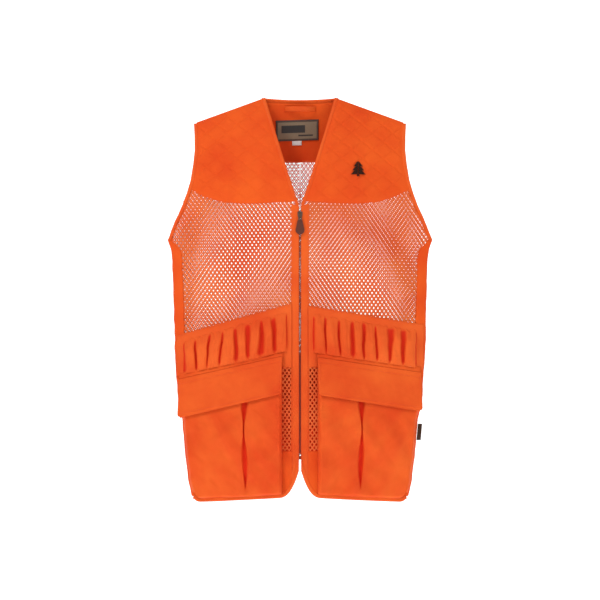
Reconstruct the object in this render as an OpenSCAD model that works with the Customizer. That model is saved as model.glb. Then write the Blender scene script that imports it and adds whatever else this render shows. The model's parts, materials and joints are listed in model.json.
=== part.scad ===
// Blaze orange field vest, hanging upright from its neck loop.
// Millimetres. +Z up, the front faces -Y, +X is the wearer's left.
// Origin: the middle of the hanger loop's gap, where a hook goes.

/* [Overall size] */
// half of the pit-to-pit width
chest_half = 234; // [215:1:255]
// hanger loop down to the lowest hem
hem_drop = 699; // [650:1:750]
// hanger loop down to the armpit
armpit_drop = 232; // [222:1:245]
// how far the front stands forward of the side seams
front_bulge = 40; // [34:1:44]
// how far the back stands behind the side seams
back_bulge = 32; // [28:1:38]

/* [Cloth] */
// mesh cloth
mesh_t = 1.0; // [0.8:0.1:1.2]
// solid woven cloth
cloth_t = 1.2; // [1:0.1:1.3]
// quilted front yoke with its wadding
yoke_t = 3.6; // [2.5:0.1:4.5]
// width of the bias binding
binding_w = 6; // [5:0.5:7]
// width of the zip facing
facing_w = 13.5; // [12:0.5:14]

/* [Shell loops] */
// loops on each front
loops = 8; // [6:1:9]
// length of a loop
loop_h = 55; // [45:1:58]
// how far a loop stands off the band
loop_depth = 10; // [8:0.5:11]

/* [Pockets] */
// height of a pocket flap
flap_h = 66; // [50:1:75]
// thickness of a pocket flap
flap_t = 1.6; // [1.2:0.1:2]
// how far a flap slopes out over its pocket, in degrees
flap_tilt = 9; // [7:0.5:10]
// depth of the game pouch across the back
pouch_depth = 16; // [10:1:22]

/* [Zip] */
// length of the row of teeth
chain_len = 430; // [380:1:434]
// tooth pitch on one side
tooth_pitch = 3.2; // [2.8:0.1:4]
// width of the slider
slider_w = 9; // [8:0.5:11]
// width of the puller tab
puller_w = 15.5; // [12:0.5:18]
// length of the puller tab
puller_len = 25; // [20:1:30]

/* [Fits] */
// gap between the edges of sewn pieces
seam_gap = 0.4; // [0.3:0.05:0.6]
// gap between layers of cloth
layer_gap = 0.3; // [0.2:0.05:0.4]
// gap round the slider's parts
slide_gap = 0.3; // [0.25:0.05:0.4]
// gap round the link in its bail
bail_gap = 0.35; // [0.3:0.05:0.5]

/* [Hidden] */
$fn = 48;
kx = chest_half / 234;
orange_y = [0.91, 0.33, 0.13];
orange_b = [0.92, 0.42, 0.20];
brown = [0.36, 0.16, 0.07];
steel = [0.55, 0.5, 0.45];
zip_top = -181;
flap_in = 31;
flap_out = 214;
flap_mid = 122;
mesh_z0 = -170;
// how far the front hem curves up to the zip, and the height of the back hem in the middle
slit_rise = 52;
back_hem = -614;

// nominal heights stretched to the chosen armpit and hem
function zl(z) = z > -232 ? z * (z > 0 ? 1 : armpit_drop / 232)
    : -armpit_drop + (z + 232) * (hem_drop - armpit_drop) / 467;
function mix(a, b, t) = a + (b - a) * t;
function ease(t) = let (c = min(1, max(0, t))) c * c * (3 - 2 * c);

// outline: half width, shoulder, neck, hem
function half_w(z) = lookup(z, [[-705, 189], [-690, 190], [-662, 196], [-620, 202], [-550, 208],
    [-520, 215], [-430, 221], [-339, 223], [-269, 225], [-250, 228], [-232, 234], [-215, 227],
    [-198, 220], [-170, 207], [-150, 199.5], [-128, 193], [-100, 188.5], [-75, 186], [-50, 186.5],
    [-26, 188], [30, 190]]);
function shoulder(x) = abs(x) < 60 ? 20 : 20 - (abs(x) - 60) * 46 / 128;
function vneck(z) = z <= -176 ? 0 : 62 * pow((z + 176) / 196, 0.92);
function hem(x) = -683 - 14 * abs(x) / 190 + (abs(x) < 38 ? slit_rise * pow(1 - abs(x) / 38, 2.6) : 0);
function hem_b(x) = back_hem - 78 * ease(abs(x) / 190);
function hem_rise(x) = binding_w * (abs(x) < 38 ? sqrt(1 + pow(2.6 / 38 * slit_rise * pow(1 - abs(x) / 38, 1.6), 2)) : 1);
function yoke_end(x) = mesh_z0 - 4 * sin(180 * min(1, abs(x) / 190)) + 26 * pow(abs(x) / 193, 5);
function yoke_x0() = vneck(-166) + binding_w + seam_gap + 0.3;
function yoke_x1() = half_w(-144) - binding_w - seam_gap;
function yoke_low(x) = let (t = (x - yoke_x0()) / (yoke_x1() - yoke_x0()))
    mix(-166.5, -144.2, t) + yoke_end(x) - mix(yoke_end(yoke_x0()), yoke_end(yoke_x1()), t);
function strip_w(z) = binding_w + 10 * ease((-232 - z) / 25);

// how far out the cloth stands, 0 at the seams to 1 on the middle line
function wide(z) = half_w(min(z, -232)) + (z > -232 ? 30 * ease((z + 232) / 80) : 0);
function drop(x, z) = let (s = max(0, shoulder(x) - z)) s >= 150 ? 1 : 1 - pow(1 - s / 150, 2);
function swell(x, z) = (1 - pow(min(1, abs(x) / wide(z)), 1.6)) * drop(x, z);
// a point on the front or back layer, o outward from it
function on_front(x, z, o = 0) = [kx * x, -front_bulge * swell(x, z) - o, zl(z)];
function on_back(x, z, o = 0) = [kx * x, back_bulge * swell(x, z) + o, zl(z)];

// a closed sheet from a function of column, row and side (0 inner, 1 outer)
function flat2(rows) = [for (r = rows) for (p = r) p];
function cell(a, b, c, d) = [[a, b, c], [a, c, d]];
function tri_vol(p, f) = cross(p[f[0]], p[f[1]]) * p[f[2]];
function total(list, i = 0, sum = 0) = i == len(list) ? sum : total(list, i + 1, sum + list[i]);
module sheet(point, nu, nv) {
    n = nu + 1;
    top = n * (nv + 1);
    pts = [for (k = [0, 1]) for (j = [0:nv]) for (i = [0:nu]) point(i, j, k)];
    faces = flat2(concat(
        [for (j = [0:nv - 1]) for (i = [0:nu - 1]) let (a = j * n + i) cell(a, a + 1, a + n + 1, a + n)],
        [for (j = [0:nv - 1]) for (i = [0:nu - 1]) let (a = top + j * n + i)
            cell(a + n, a + n + 1, a + 1, a)],
        [for (i = [0:nu - 1]) cell(i, i + top, i + top + 1, i + 1)],
        [for (i = [0:nu - 1]) let (a = nv * n + i) cell(a + 1, a + top + 1, a + top, a)],
        [for (j = [0:nv - 1]) let (a = j * n) cell(a, a + n, a + n + top, a + top)],
        [for (j = [0:nv - 1]) let (a = j * n + nu) cell(a + top, a + n + top, a + n, a)]));
    vol = total([for (f = faces) tri_vol(pts, f)]);
    polyhedron(points = pts, faces = vol < 0 ? faces : [for (f = faces) [f[2], f[1], f[0]]], convexity = 8);
}

// a patch between four edges: left and right take a height share, top and bottom a width share
function patch(u, v, left, right, top, bottom) =
    (1 - u) * left(v) + u * right(v) + (1 - v) * top(u) + v * bottom(u)
    - ((1 - u) * (1 - v) * left(0) + u * (1 - v) * right(0) + (1 - u) * v * left(1) + u * v * right(1));

// ---------- front ----------
module front_yoke(s) {
    in_z = function (v) mix(18, -166, v);
    out_z = function (v) mix(-24.5, -144, v);
    left = function (v) [vneck(in_z(v)) + binding_w + seam_gap + 0.3, in_z(v) - (v == 0 ? 2 : 0) - 0.5];
    right = function (v) [half_w(out_z(v)) - binding_w - seam_gap, out_z(v) - 0.2];
    top = function (u) let (x = mix(left(0)[0], right(0)[0], u)) [x, mix(left(0)[1], right(0)[1], u)];
    bottom = function (u) let (x = mix(left(1)[0], right(1)[0], u)) [x, yoke_low(x)];
    put = function (i, j, k) let (
        p = patch(i / 12, j / 12, left, right, top, bottom),
        rim = min(1, min(i, 12 - i) * 0.6 + 0.35, min(j, 12 - j) * 0.6 + 0.35)
    ) on_front(s * p[0], p[1], k * mix(1.4, yoke_t, rim));
    sheet(put, 12, 12);
}

function mesh_out(z) = half_w(z) - (z > -232 ? binding_w : strip_w(z)) - seam_gap;
module front_mesh(s) {
    x0 = facing_w + 1.7 + seam_gap;
    left = function (v) [x0, mix(yoke_low(x0) - seam_gap, hem(x0) + hem_rise(x0) + seam_gap, v)];
    right = function (v) let (z = mix(yoke_low(yoke_x1()) - seam_gap, hem(180) + binding_w + seam_gap, v))
        [mesh_out(z), z];
    top = function (u) let (x = mix(left(0)[0], right(0)[0], u)) [x, yoke_low(min(x, yoke_x1())) - seam_gap];
    bottom = function (u) let (x = mix(left(1)[0], right(1)[0], u)) [x, hem(x) + hem_rise(x) + seam_gap];
    put = function (i, j, k) let (
        v = pow(j / 22, 0.93),
        p = patch(i / 12, v, left, right, top, bottom)
    ) on_front(s * p[0], p[1], k * mesh_t);
    sheet(put, 12, 22);
}

module zip_facing(s) {
    z0 = function (x) -174.5 + 0.25 * x;
    z1 = function (x) hem(x) + hem_rise(x) + seam_gap;
    put = function (i, j, k) let (x = mix(1.7, 1.7 + facing_w, i / 3), z = mix(z0(x), z1(x), j / 14))
        on_front(s * x, z, k * cloth_t);
    sheet(put, 3, 14);
}

module zip_tape(s) {
    color([0.85, 0.25, 0.08]) translate([s > 0 ? 2.6 : -13.6, -front_bulge + 1.3, zl(zip_top) - chain_len - 6])
        cube([11, 0.6, chain_len + 7]);
}

module zip_teeth(s) {
    n = floor(chain_len / tooth_pitch) - 1;
    comb = concat([[2.5, 0], [2.5, -chain_len]],
        [for (k = [n:-1:0]) for (p = [[1.7, -(k + 0.62)], [0.8, -(k + 0.62)], [0.8, -k], [1.7, -k]])
            [p[0], p[1] * tooth_pitch - (s > 0 ? 0.4 : 2)]]);
    color(brown) translate([0, -front_bulge + 2.3, zl(zip_top)]) rotate([90, 0, 0])
        linear_extrude(height = 2) scale([s, 1]) polygon(comb);
}

module side_strip(s) {
    z1 = -684;
    put = function (i, j, k) let (
        z = j < 8 ? [-233, -237, -241, -245, -249, -252, -255, -258][j] : mix(-258, z1, (j - 7) / 15),
        w = strip_w(z),
        q = i < 5 ? i / 4 : (9 - i) / 4,
        x = half_w(z) - w * (1 - q),
        p = i < 5 ? on_front(x, z, k * mesh_t) : on_back(x, z, k * mesh_t)
    ) [s * (p[0] + (q == 1 ? k * mesh_t : 0)), (q == 1 ? (i < 5 ? -0.25 : 0.25) * (1 + k) : p[1]), p[2]];
    sheet(put, 9, 22);
}

// bias bindings: a narrow strip from an edge inward
module neck_binding(s) {
    put = function (i, j, k) let (z = mix(19, -173.5, j / 16), x = vneck(z) + i * binding_w)
        on_front(s * max(x, 1.2), z - i * (j == 0 ? 2.4 : 0), k == 0 ? 0 : 2.2);
    sheet(put, 1, 16);
}
module neck_binding_back() {
    put = function (i, j, k) let (x = mix(-67, 67, j / 16), z = 19 - 3.5 * (1 - pow(x / 67, 2)) - i * binding_w)
        on_back(x, z - 0.6, k == 0 ? 0 : 2.2);
    sheet(put, 1, 16);
}
module armhole_binding(s, back) {
    put = function (i, j, k) let (z = mix(-27.5, -231, j / 18), x = half_w(z) - i * binding_w,
        o = k == 0 ? 0 : 2.2, p = back ? on_back(x, z, o) : on_front(x, z, o)) [s * p[0], p[1], p[2]];
    sheet(put, 1, 18);
}
module hem_binding(s) {
    put = function (i, j, k) let (x = mix(1.9, 187, pow(j / 18, 1.6)))
        on_front(s * x, hem(x) + i * hem_rise(x), k * 2.0);
    sheet(put, 1, 18);
}
module hem_binding_back() {
    put = function (i, j, k) let (x = mix(-186, 186, j / 40)) on_back(x, hem_b(x) + i * binding_w, k * 2.0);
    sheet(put, 1, 40);
}

// ---------- back ----------
module back_yoke() {
    put = function (i, j, k) let (
        u = i / 20, v = j / 8, q = 2 * u - 1,
        top_x = 181.5 * q,
        top = (abs(top_x) < 62 ? 11.6 - 3.5 * (1 - pow(top_x / 67, 2)) - 0.9 + (abs(top_x) > 60 ? -1 : 0) : shoulder(top_x) - 0.8),
        z = mix(top, -93, v),
        x = (half_w(z) - binding_w - seam_gap) * q
    ) on_back(abs(top_x) < 70 ? mix(top_x, x, v) : x, abs(top_x) > 62 && abs(top_x) < 70 && j == 0 ? top - 7 : z, k * cloth_t);
    sheet(put, 20, 8);
}
// rows of the back mesh, closer together where the side strips widen
back_rows = [-93 - seam_gap, -120, -148, -176, -204, -232, -235, -239, -243, -247, -251, -254, -258, -300,
    -350, -400, -440];
module back_mesh() {
    put = function (i, j, k) let (z = back_rows[j], x = mesh_out(z) * (2 * i / 20 - 1)) on_back(x, z, k * mesh_t);
    sheet(put, 20, len(back_rows) - 1);
}
module back_lower_panel() {
    put = function (i, j, k) let (q = 2 * i / 40 - 1, xb = mesh_out(hem_b(176 * q) + binding_w) * q,
        zb = hem_b(xb) + binding_w + 2 * seam_gap,
        z = mix(-440 - seam_gap, zb, j / 10), x = mesh_out(z) * q) on_back(x, z, k * cloth_t);
    sheet(put, 40, 10);
}

// a pocket with walls: column and row spacing in from the rim, share of the full height there
function inset(i, n) = let (m = min(i, n - i)) m == 0 ? 0 : m == 1 ? 1.6 : m == 2 ? 6 : -1;
function lift(m) = m == 0 ? 0 : m == 1 ? 0.88 : 1;
function side_at(i, n, a, b, t) = let (m = min(i, n - i), d = inset(i, n),
        lo = a + 6, hi = b - 6)
    m > 2 ? mix(lo, hi, (i - 2) / (n - 4))
    : i <= n / 2 ? a + d + (m < 2 ? t : 0.4 * t) : b - d - (m < 2 ? t : 0.4 * t);

module game_pouch() {
    nu = 24;
    nv = 12;
    t = cloth_t;
    put = function (c, j, k) let (
        i = nu - c,
        z_lo = hem_b(190 * (2 * i / nu - 1)) + binding_w + 2, z_hi = -452,
        m = nv - j,
        z = m > 2 ? mix(z_hi, z_lo + 6, j / (nv - 2)) : z_lo + (m == 0 ? 0 : m == 1 ? 1.6 : 6) + (k == 0 ? (m < 2 ? t : 0.4 * t) : 0),
        w = half_w(z) - 7,
        x = side_at(i, nu, -w, w, k == 0 ? t : 0),
        f = min(lift(min(i, nu - i)), lift(m)),
        full = pouch_depth * (0.55 + 0.45 * sin(180 * (i / nu)))
            * (0.75 + 0.25 * sin(180 * j / nv)),
        o = cloth_t + layer_gap + f * full - (k == 0 && f > 0 ? t : 0)
    ) on_back(x, z, o);
    sheet(put, nu, nv);
}

// ---------- shell band ----------
function band_top(x, s) = s < 0 ? -348 - 49 * (x - 26) / 176 : -349 - 32 * (x - 17) / 192;
function flap_top(x, s) = s < 0 ? -437 - 42 * (x - flap_in) / 183 : -439 - 28 * (x - flap_in) / 183;
header_h = 6;
band_x = concat([16, 29, 30.2], [for (i = [1:9]) 30.2 + (219 - 30.2) * i / 9]);
module shell_band(s) {
    o0 = mesh_t + layer_gap;
    n = len(band_x) - 1;
    put = function (i, j, k) let (
        x = min(band_x[i], half_w(-400) - 3),
        zt = band_top(x, s),
        zb = x < 29.5 ? -457 : flap_top(x, s) + header_h + seam_gap,
        z = mix(zt, zb, j / 6)
    ) on_front(s * x, z, k == 0 ? o0 : o0 + cloth_t);
    sheet(put, n, 6);
}
module shell_loops(s) {
    base = mesh_t + cloth_t + 2 * layer_gap;
    m = 8;
    put = function (i, j, k) let (
        x = mix(22, 206, i / (m * loops)),
        t = (i % m) / m,
        arc = (i % m == 0) ? 0 : pow(4 * t * (1 - t), 0.75),
        z = band_top(x, s) - 17 - loop_h * j / 3,
        o = base + arc * (loop_depth - 1.1) + k * 1.1
    ) on_front(s * x, z, o);
    sheet(put, m * loops, 3);
}

// ---------- pockets ----------
function front_y(x, z) = -front_bulge * swell(x, z);
flap_slope = (front_y(200, -455) - front_y(44, -455)) / 156;
function plane_y(x) = front_y(flap_mid, -455) - 4.2 + flap_slope * (x - flap_mid);
module pocket(s) {
    nu = 16;
    nv = 17;
    t = cloth_t;
    rim = mesh_t + layer_gap;
    put = function (c, j, k) let (
        i = s > 0 ? c : nu - c,
        m = nv - j,
        w0 = 31,
        x_try = mix(w0, 200, i / nu),
        z_hi = flap_top(x_try, s) - 11,
        z_lo = hem(x_try) + 8,
        z = m > 2 ? mix(z_hi, z_lo + 6, j / (nv - 2)) : z_lo + (m == 0 ? 0 : m == 1 ? 1.6 : 6) + (k == 0 ? (m < 2 ? t : 0.4 * t) : 0),
        x = side_at(i, nu, w0, half_w(z) - 3, k == 0 ? t : 0),
        down = max(0, flap_top(x, s) - z),
        under = min(down, flap_h + 6) * tan(flap_tilt),
        fall = max(0, down - flap_h - 6),
        low = ease((-z - 560) / 130),
        y_full = plane_y(x) - under * (1 - 0.55 * low) + flap_t / cos(flap_tilt) + 0.6 - 2.6 * ease(fall / 25) * (1 - low),
        rim_y = front_y(x, z) - rim,
        f = min(lift(min(i, nu - i)), lift(m)),
        y = min(rim_y, mix(rim_y, y_full, f) + (k == 0 && f > 0 ? t : 0))
    ) [s * kx * x, y - (k == 1 && f > 0 ? 0.05 : 0), zl(z)];
    sheet(put, nu, nv);
}

function hinge_at(x, s) = [s * kx * x, plane_y(x), zl(flap_top(x, s))];
module pocket_flap(s) {
    a = hinge_at(flap_in, s);
    b = hinge_at(flap_out, s);
    across = (b - a) / norm(b - a);
    level = [b[0] - a[0], b[1] - a[1], 0] / norm([b[0] - a[0], b[1] - a[1]]);
    outward = [level[1] * s, -level[0] * s, 0];
    down = [0, 0, -cos(flap_tilt)] + outward * sin(flap_tilt);
    n0 = cross(across, down);
    n = n0 / norm(n0) * (n0 * outward > 0 ? 1 : -1);
    len_x = norm(b - a);
    // columns run straight down in the tilted plane
    skew = across * down;
    d2 = (down - skew * across) / norm(down - skew * across);
    m = [[across[0], d2[0], n[0], a[0]], [across[1], d2[1], n[1], a[1]], [across[2], d2[2], n[2], a[2]], [0, 0, 0, 1]];
    // in the plane: across the hinge line, and down from it
    q = [skew * flap_h, flap_h * sqrt(1 - skew * skew)];
    multmatrix(m) translate([0, 0, -flap_t]) linear_extrude(height = flap_t)
        polygon([[0, 0], [len_x, 0], [len_x + q[0] - 0.4, q[1] - 5], [len_x + q[0] - 2, q[1] - 1.4],
            [len_x + q[0] - 5.5, q[1]], [q[0] + 5.5, q[1]], [q[0] + 2, q[1] - 1.4], [q[0] + 0.4, q[1] - 5]]);
}
module flap_header(s) {
    put = function (i, j, k) let (
        x = mix(flap_in, flap_out, i / 10), z = flap_top(x, s) + 0.5 + (header_h - 0.5) * j / 2,
        back = front_y(x, z) - mesh_t - layer_gap,
        front = plane_y(x) + 0.35
    ) [s * kx * x, k == 0 ? back : min(back - 1, front), zl(z)];
    sheet(put, 10, 2);
}

// ---------- small pieces ----------
module zip_slider() {
    y0 = -front_bulge;
    z0 = zl(zip_top) - 14;
    post = 0.8 - slide_gap;
    // plates behind the teeth and in front of the facings, joined by the post between the rows
    color(steel) {
        translate([-slider_w / 2, y0 + 2.3 + slide_gap, z0 - 1]) cube([slider_w, 0.9, 11]);
        translate([-post, y0 - cloth_t - slide_gap - 0.5, z0 + 2.5]) cube([2 * post, cloth_t + 2 * slide_gap + 3.1, 5]);
        translate([0, y0 - cloth_t - slide_gap, z0]) rotate([90, 0, 0]) linear_extrude(height = 0.9)
            polygon([[-slider_w / 2, 9.5], [-slider_w / 2 + 1, 10.5], [slider_w / 2 - 1, 10.5], [slider_w / 2, 9.5],
                [slider_w / 2 - 0.6, 2], [slider_w / 2 - 2, 0], [-slider_w / 2 + 2, 0], [-slider_w / 2 + 0.6, 2]]);
        difference() {
            translate([-1.1, y0 - cloth_t - slide_gap - 0.9 - 3.2, z0 + 2]) cube([2.2, 3.3, 6.4]);
            translate([-2, pin_y, pin_z]) rotate([0, 90, 0]) cylinder(r = 0.9 + bail_gap, h = 4);
        }
    }
}
pin_y = -front_bulge - cloth_t - slide_gap - 0.9 - 1.5;
pin_z = zl(zip_top) - 14 + 4.6;
module zip_link() {
    color(steel) {
        translate([-3.3, pin_y, pin_z]) rotate([0, 90, 0]) cylinder(r = 0.9, h = 6.6);
        for (s = [-1, 1]) translate([s * 2.5 - 0.8, pin_y - 0.7, pin_z - 9]) cube([1.6, 1.4, 9]);
        translate([-3.3, pin_y - 0.7, pin_z - 9.9]) cube([6.6, 1.4, 1.4]);
    }
}
module zip_puller() {
    // moulded round the link's lower bar
    z0 = pin_z - 9.2;
    w = puller_w / 2;
    color(brown) translate([0, pin_y + 1.1, z0]) rotate([90, 0, 0]) linear_extrude(height = 2.2) union() {
        translate([0, w - puller_len]) circle(r = w);
        polygon([[-4, 0], [4, 0], [w - 0.35, w - puller_len + 2.4], [w - 0.02, w - puller_len],
            [0.02 - w, w - puller_len], [0.35 - w, w - puller_len + 2.4]]);
    }
}
module zip_top_stops() {
    for (s = [-1, 1]) translate([s * 1.7 - 0.8, -front_bulge + 0.5, zl(zip_top) + 0.4])
        color(steel) cube([1.6, 1.6, 2.6]);
}
module zip_retainer() {
    color(brown) translate([-2.4, -front_bulge + 0.3, zl(zip_top) - chain_len - 6.6]) cube([4.8, 2, 6.2]);
}

module hanger_loop() {
    put = function (i, j, k) let (
        x = mix(-28, 28, i / 14), z = mix(4.5, -4.5, j / 2),
        bow = 11 * (1 - pow(x / 28, 2)),
        p = on_back(x, z, -layer_gap - bow - (1 - k) * 1)
    ) p;
    sheet(put, 14, 2);
}
module neck_label() {
    put = function (i, j, k) on_back(mix(-43, 33, i / 6), mix(-19, -55, j / 4), -layer_gap - 0.7 * (1 - k));
    sheet(put, 6, 4);
}
module size_tab() {
    put = function (i, j, k) on_back(mix(-14, 3, i / 2), mix(-55.6, -63, j / 2), -layer_gap - 0.5 * (1 - k));
    sheet(put, 2, 2);
}
module side_tag() {
    put = function (i, j, k) let (z = mix(-558, -587, j / 3), x = mix(half_w(z) + 1.6, half_w(z) + 9, i / 2))
        [kx * x, 0.3 - k * 0.9 - 0.2 * i, zl(z)];
    sheet(put, 2, 3);
}
module chest_mark() {
    tier = function (v) v < 0.32 ? 2 + 7 * v / 0.32 : v < 0.6 ? 5 + 6.5 * (v - 0.32) / 0.28
        : v < 0.86 ? 7.5 + 6.5 * (v - 0.6) / 0.26 : 2.4;
    rows = [0, 0.3, 0.34, 0.58, 0.62, 0.84, 0.88, 1];
    put = function (i, j, k) let (v = rows[j], h = tier(v)) on_front(102 + h * (i - 1), mix(-96, -122, v),
        yoke_t + layer_gap + k * 0.8);
    sheet(put, 2, 7);
}

color(orange_y) back_yoke();
color([0.93, 0.5, 0.35]) back_mesh();
color(orange_b) back_lower_panel();
color(orange_b) game_pouch();
color(orange_y) front_yoke(1);  // front_yoke_left
color(orange_y) front_yoke(-1);  // front_yoke_right
color([0.93, 0.5, 0.35]) front_mesh(1);  // front_mesh_left
color([0.93, 0.5, 0.35]) front_mesh(-1);  // front_mesh_right
color(orange_y) side_strip(1);  // side_strip_left
color(orange_y) side_strip(-1);  // side_strip_right
color(orange_y) zip_facing(1);  // zip_facing_left
color(orange_y) zip_facing(-1);  // zip_facing_right
zip_tape(1);  // zip_tape_left
zip_tape(-1);  // zip_tape_right
zip_teeth(1);  // zip_teeth_left
zip_teeth(-1);  // zip_teeth_right
color(orange_b) neck_binding(1);  // neck_binding_left
color(orange_b) neck_binding(-1);  // neck_binding_right
color(orange_b) neck_binding_back();
color(orange_b) armhole_binding(1, false);  // armhole_binding_front_left
color(orange_b) armhole_binding(-1, false);  // armhole_binding_front_right
color(orange_b) armhole_binding(1, true);  // armhole_binding_back_left
color(orange_b) armhole_binding(-1, true);  // armhole_binding_back_right
color(orange_b) hem_binding(1);  // hem_binding_left
color(orange_b) hem_binding(-1);  // hem_binding_right
color(orange_b) hem_binding_back();
color(orange_b) shell_band(1);  // shell_band_left
color(orange_b) shell_band(-1);  // shell_band_right
color(orange_y) shell_loops(1);  // shell_loops_left
color(orange_y) shell_loops(-1);  // shell_loops_right
color(orange_b) pocket(1);  // pocket_left
color(orange_b) pocket(-1);  // pocket_right
color(orange_y) pocket_flap(1);  // pocket_flap_left
color(orange_y) pocket_flap(-1);  // pocket_flap_right
color(orange_b) flap_header(1);  // flap_header_left
color(orange_b) flap_header(-1);  // flap_header_right
zip_slider();
zip_link();
zip_puller();
zip_top_stops();
zip_retainer();
color(orange_b) hanger_loop();
color(brown) neck_label();
color([0.95, 0.95, 0.93]) size_tab();
color(brown) side_tag();
color(brown) chest_mark();
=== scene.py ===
"""Looks of the blaze orange field vest: cloth, mesh, quilting, stitching and zip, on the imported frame."""
import json
import math
import random

import bmesh
import bpy
from mathutils import Matrix, Vector, noise


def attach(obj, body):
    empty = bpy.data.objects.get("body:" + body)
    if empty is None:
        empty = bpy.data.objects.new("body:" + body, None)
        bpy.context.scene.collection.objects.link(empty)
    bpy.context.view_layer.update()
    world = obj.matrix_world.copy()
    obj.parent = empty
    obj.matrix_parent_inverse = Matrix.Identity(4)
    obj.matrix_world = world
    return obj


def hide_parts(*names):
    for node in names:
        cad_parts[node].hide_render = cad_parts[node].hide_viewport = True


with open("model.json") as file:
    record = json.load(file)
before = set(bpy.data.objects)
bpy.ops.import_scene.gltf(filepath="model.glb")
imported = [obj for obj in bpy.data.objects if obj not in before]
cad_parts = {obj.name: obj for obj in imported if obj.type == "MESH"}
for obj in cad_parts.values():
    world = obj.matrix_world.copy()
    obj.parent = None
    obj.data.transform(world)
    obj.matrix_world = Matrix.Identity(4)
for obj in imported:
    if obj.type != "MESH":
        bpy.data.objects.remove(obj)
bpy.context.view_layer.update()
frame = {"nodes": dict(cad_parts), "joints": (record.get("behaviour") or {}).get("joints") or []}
joints = {j["name"]: j for j in frame["joints"]}
random.seed(7)

# ---------- the shape the cloth hangs in, in millimetres ----------
OUTLINE = [(-705, 189), (-690, 190), (-662, 196), (-620, 202), (-550, 208), (-520, 215), (-430, 221),
           (-339, 223), (-269, 225), (-250, 228), (-232, 234), (-215, 227), (-198, 220), (-170, 207),
           (-150, 199.5), (-128, 193), (-100, 188.5), (-75, 186), (-50, 186.5), (-26, 188), (30, 190)]
FRONT, BACK = 40, 32
SLIT_HALF, SLIT_RISE, SLIT_POWER = 38, 52, 2.6
ARMPIT_Z, FLAP_SEAM_Z = -232, -455
BIND, FACING, CLOTH_T = 6, 13.5, 1.2
NET_THICK = 0.0007  # metres
FLAP_IN, FLAP_OUT, FLAP_MID, FLAP_H, TILT = 31, 214, 122, 66, math.radians(9)


def mix(a, b, t):
    return a + (b - a) * t


def ease(t):
    c = min(1, max(0, t))
    return c * c * (3 - 2 * c)


def half_w(z):
    if z <= OUTLINE[0][0]:
        return OUTLINE[0][1]
    for (a, b), (c, d) in zip(OUTLINE, OUTLINE[1:]):
        if z <= c:
            return mix(b, d, (z - a) / (c - a))
    return OUTLINE[-1][1]


def shoulder(x):
    return 20 - max(0, abs(x) - 60) * 46 / 128


def vneck(z):
    return 0 if z <= -176 else 62 * ((z + 176) / 196) ** 0.92


def hem(x):
    x = abs(x)
    corner = 13 * (1 - math.sqrt(1 - min(1, max(0, x - 175) / 15) ** 2))
    slit = SLIT_RISE * (1 - x / SLIT_HALF) ** SLIT_POWER if x < SLIT_HALF else 0
    return -683 - 14 * x / 190 + corner + slit


def hem_back(x):
    return -614 - 78 * ease(abs(x) / 190)


def hem_rise(x):
    x = abs(x)
    if x >= SLIT_HALF:
        return BIND
    slope = SLIT_POWER / SLIT_HALF * SLIT_RISE * (1 - x / SLIT_HALF) ** (SLIT_POWER - 1)
    return BIND * math.sqrt(1 + slope ** 2)


def yoke_end(x):
    x = abs(x)
    return -170 - 4 * math.sin(math.pi * min(1, x / 190)) + 26 * (x / 193) ** 5


YOKE_X0, YOKE_X1 = vneck(-166) + BIND + 0.7, half_w(-144) - BIND - 0.4


def yoke_low(x):
    t = (x - YOKE_X0) / (YOKE_X1 - YOKE_X0)
    return mix(-166.5, -144.2, t) + yoke_end(x) - mix(yoke_end(YOKE_X0), yoke_end(YOKE_X1), t)


def strip_w(z):
    return BIND + 10 * ease((ARMPIT_Z - z) / 25)


def net_out(z):
    return half_w(z) - (BIND if z > ARMPIT_Z else strip_w(z)) - 0.4


def swell(x, z):
    wide = half_w(min(z, ARMPIT_Z)) + (30 * ease((z - ARMPIT_Z) / 80) if z > ARMPIT_Z else 0)
    s = max(0, shoulder(x) - z)
    drop = 1 if s >= 150 else 1 - (1 - s / 150) ** 2
    return (1 - min(1, abs(x) / wide) ** 1.6) * drop


def drape(x, z, back=False):
    """How far the hanging cloth waves in and out, the same for every layer."""
    ax = abs(x)
    free = ease((ax - 15) / 40) * ease((half_w(z) - ax) / 45) * ease((shoulder(x) - z) / 120)
    if back:
        free = ease((half_w(z) - ax) / 45) * ease((shoulder(x) - z) / 120)
    n = noise.noise(Vector((x / 62 + z / 210, z / 120, 5.1 if back else 2.3)))
    m = noise.noise(Vector((x / 26 - z / 60, z / 70, 8.8)))
    return free * (2.6 * n + 0.9 * m)


def sway(x, z):
    """Sideways wander of the hanging cloth towards its outer edges."""
    far = ease((abs(x) - 60) / 150) * ease((-150 - z) / 60) * (1 if x > 0 else -1)
    side = 3.0 if x > 0 else 9.0
    return far * (1.5 * noise.noise(Vector((z / 38, side, 1))) + 0.7 * noise.noise(Vector((z / 13, side, 4))))


def front(x, z, o=0.0):
    return Vector((x + sway(x, z), -FRONT * swell(x, z) - o - drape(x, z), z)) * 0.001


def back(x, z, o=0.0):
    return Vector((x + sway(x, z), BACK * swell(x, z) + o + drape(x, z, True), z)) * 0.001


def band_top(x, s):
    return -348 - 49 * (x - 26) / 176 if s < 0 else -349 - 32 * (x - 17) / 192


def flap_top(x, s):
    return -437 - 42 * (x - FLAP_IN) / 183 if s < 0 else -439 - 28 * (x - FLAP_IN) / 183


def front_y(x, z):
    return -FRONT * swell(x, z)


FLAP_SLOPE = (front_y(200, FLAP_SEAM_Z) - front_y(44, FLAP_SEAM_Z)) / 156


def plane_y(x):
    return front_y(FLAP_MID, FLAP_SEAM_Z) - 4.2 + FLAP_SLOPE * (x - FLAP_MID)


# ---------- materials ----------
def nodes_of(name):
    mat = bpy.data.materials.new(name)
    mat.use_nodes = True
    tree = mat.node_tree
    return mat, tree, tree.nodes["Principled BSDF"]


def link(tree, a, b):
    tree.links.new(a, b)


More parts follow.
